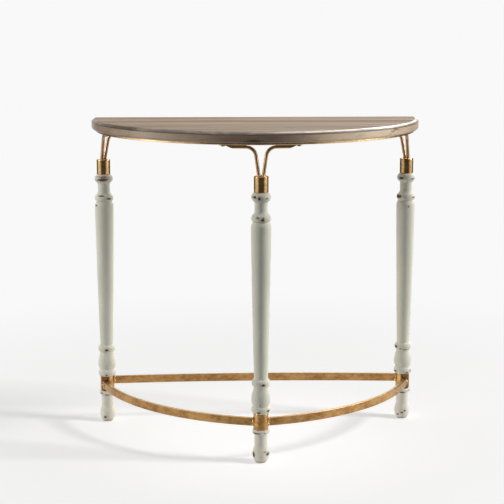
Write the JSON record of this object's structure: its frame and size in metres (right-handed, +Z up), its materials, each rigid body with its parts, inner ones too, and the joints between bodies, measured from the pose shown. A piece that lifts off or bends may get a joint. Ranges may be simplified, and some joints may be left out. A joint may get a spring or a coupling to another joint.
{
  "type": "demilune table",
  "caption": "Half-round side table: stained wooden top on a gold flat-bar rim, forked ferrules, turned legs in worn white paint and a ring of curved gold stretchers.",
  "frame": {"origin": "on the floor under the middle of the table's box", "axes": "+Z up, +Y towards the straight back edge and the wall, +X to the right seen from the front"},
  "size_m": [0.8, 0.3999, 0.76],
  "materials": {
    "stained_wood": "matt grey-brown stain",
    "painted_wood": "worn off-white paint",
    "gold_leaf_iron": "antique gold leaf over iron",
    "zinc_steel": "zinc plated"
  },
  "bodies": {
    "root": {"back_rail": "gold_leaf_iron", "back_stretcher": "gold_leaf_iron", "foot_inserts": "zinc_steel", "front_collar": "gold_leaf_iron", "front_foot": "painted_wood", "front_fork_cap": "gold_leaf_iron", "front_fork_left_rod": "gold_leaf_iron", "front_fork_left_tab": "gold_leaf_iron", "front_fork_right_rod": "gold_leaf_iron", "front_fork_right_tab": "gold_leaf_iron", "front_left_stretcher": "gold_leaf_iron", "front_leg": "painted_wood", "front_right_stretcher": "gold_leaf_iron", "left_collar": "gold_leaf_iron", "left_foot": "painted_wood", "left_fork_cap": "gold_leaf_iron", "left_fork_front_rod": "gold_leaf_iron", "left_fork_front_tab": "gold_leaf_iron", "left_fork_inner_rod": "gold_leaf_iron", "left_fork_inner_tab": "gold_leaf_iron", "left_leg": "painted_wood", "leg_bottom_inserts": "zinc_steel", "leg_top_inserts": "zinc_steel", "lower_studs": "zinc_steel", "right_collar": "gold_leaf_iron", "right_foot": "painted_wood", "right_fork_cap": "gold_leaf_iron", "right_fork_front_rod": "gold_leaf_iron", "right_fork_front_tab": "gold_leaf_iron", "right_fork_inner_rod": "gold_leaf_iron", "right_fork_inner_tab": "gold_leaf_iron", "right_leg": "painted_wood", "rim_hoop": "gold_leaf_iron", "rim_screws": "zinc_steel", "tab_screws": "zinc_steel", "table_top": "stained_wood", "upper_studs": "zinc_steel"}
  },
  "joints": []
}
